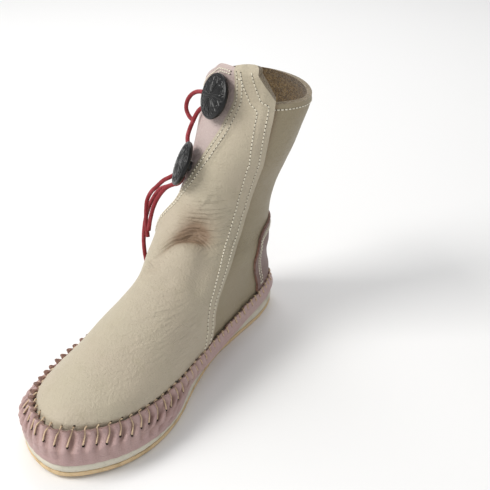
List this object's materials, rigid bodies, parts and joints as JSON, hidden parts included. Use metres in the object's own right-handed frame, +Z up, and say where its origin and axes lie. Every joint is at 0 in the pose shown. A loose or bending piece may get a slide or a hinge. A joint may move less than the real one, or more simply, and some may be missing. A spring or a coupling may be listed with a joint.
{
  "type": "boot",
  "caption": "Soft leather moccasin ankle boot for the right foot, with a button flap, a laced gathered wall and a thin foam sole.",
  "frame": {"origin": "on the floor under the centre of the heel, at the sole's flat underside", "axes": "+Z up, the toe points to -Y, +X is the inner side of the right foot"},
  "size_m": [0.1147, 0.2791, 0.193],
  "materials": {
    "tan_rubber": "matt",
    "white_foam": "matt",
    "pink_leather": "satin",
    "suede_lining": "napped",
    "cream_leather": "satin",
    "pale_pink_leather": "satin",
    "black_button": "glossy",
    "red_thong": "matt"
  },
  "bodies": {
    "root": {"outsole": "tan_rubber", "midsole": "white_foam", "moccasin_wall": "pink_leather", "insole": "suede_lining", "upper": "cream_leather", "heel_counter": "pink_leather", "button_flap": "pale_pink_leather", "button_upper": "black_button", "button_lower": "black_button", "thong_upper_loop": "red_thong", "thong_between_buttons": "red_thong", "thong_end_front": "red_thong", "thong_end_long": "red_thong", "thong_end_short": "red_thong"}
  },
  "joints": []
}
